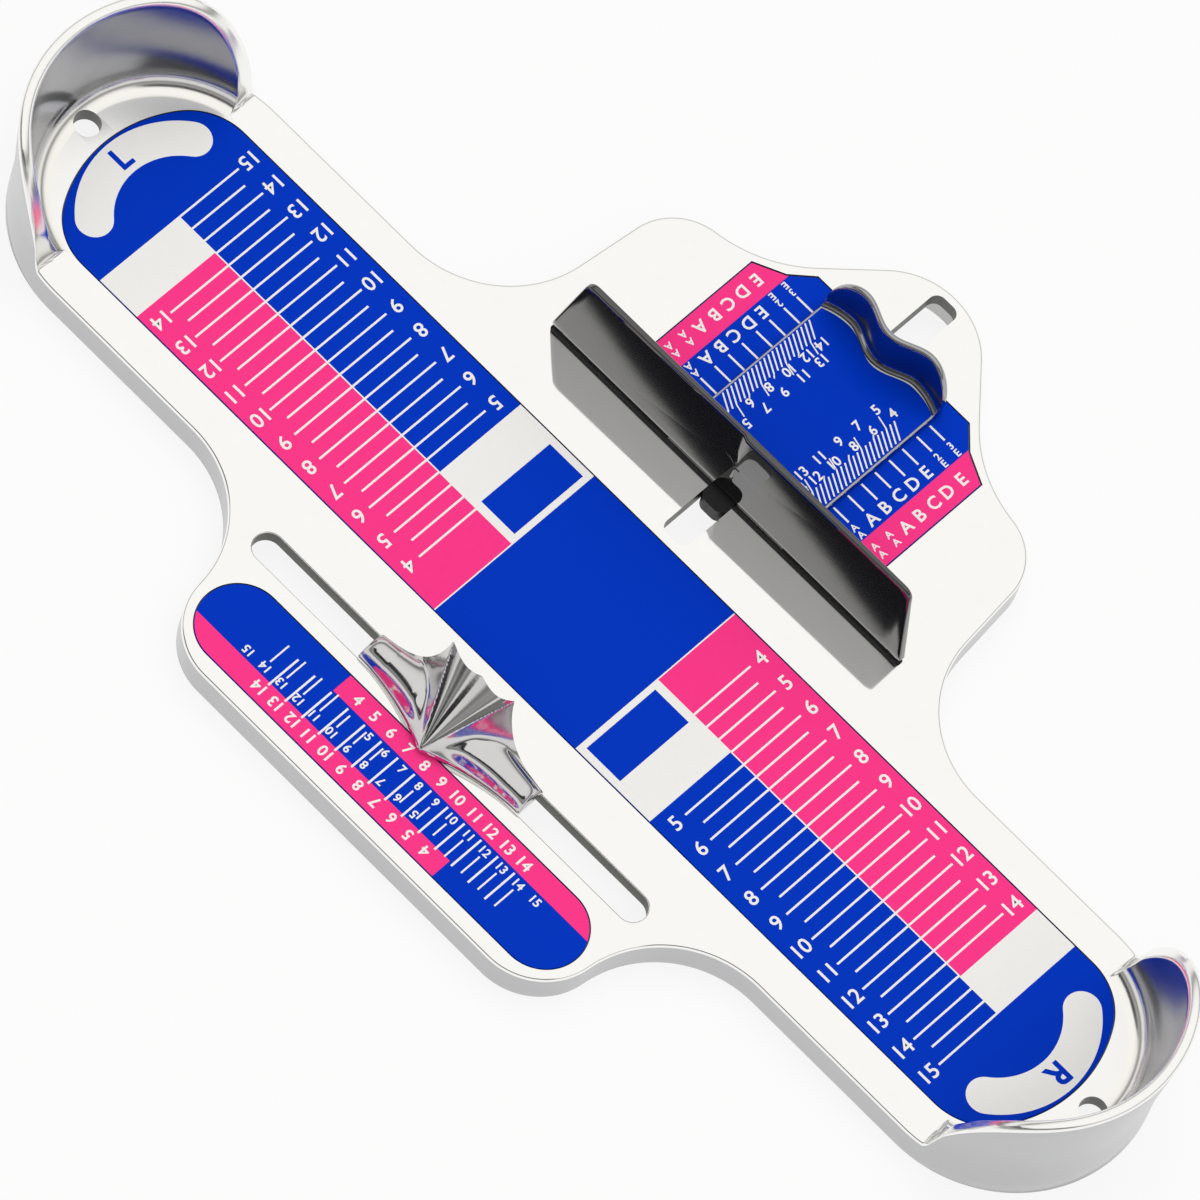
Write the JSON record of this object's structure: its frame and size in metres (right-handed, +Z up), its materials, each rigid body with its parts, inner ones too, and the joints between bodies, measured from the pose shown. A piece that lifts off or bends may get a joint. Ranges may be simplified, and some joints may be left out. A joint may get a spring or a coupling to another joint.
{
  "type": "foot measuring device",
  "caption": "Cast metal foot gauge with a heel cup at each end, printed length scale, a sliding black width bar and a sliding arch pointer.",
  "frame": {"origin": "on the table, under the middle of the whole device's footprint", "axes": "+X from heel cup to heel cup, +Y from the arch pointer's side to the width bar's side, +Z up"},
  "size_m": [0.3646, 0.2084, 0.043],
  "materials": {
    "polished_casting": "mirror polished",
    "polished_pointer": "mirror polished",
    "slider_aluminium": "satin",
    "printed_length_plate": "glossy blue and pink print",
    "printed_arch_plate": "glossy blue and pink print",
    "printed_letter_plate": "glossy blue and pink print",
    "printed_slider_label": "glossy blue print",
    "black_bar": "glossy black",
    "black_nylon": "satin black",
    "fastener_steel": "zinc plated",
    "spring_steel": "blued",
    "retainer_steel": "brushed"
  },
  "bodies": {
    "base": {"base": "polished_casting", "length_scale_plate": "printed_length_plate", "arch_scale_plate": "printed_arch_plate", "width_letter_plate": "printed_letter_plate"},
    "width_gauge": {"width_slider": "slider_aluminium", "width_scale_label": "printed_slider_label", "width_bar": "black_bar", "width_bar_rivets": "fastener_steel", "width_guide_block": "black_nylon", "width_friction_spring": "spring_steel", "width_retainer": "retainer_steel", "width_screws": "fastener_steel", "width_washers": "fastener_steel", "width_lock_washers": "spring_steel"},
    "arch_gauge": {"arch_slider": "polished_pointer", "arch_guide_block": "black_nylon", "arch_friction_spring": "spring_steel", "arch_retainer": "retainer_steel", "arch_screws": "fastener_steel", "arch_washers": "fastener_steel", "arch_lock_washers": "spring_steel"}
  },
  "joints": [
    {"name": "width_slide", "type": "slide", "parent": "base", "child": "width_gauge", "axis": [0, 1, 0], "range_m": [-0.0127, 0.0487]},
    {"name": "arch_slide", "type": "slide", "parent": "base", "child": "arch_gauge", "axis": [1, 0, 0], "range_m": [-0.05, 0.05]}
  ]
}
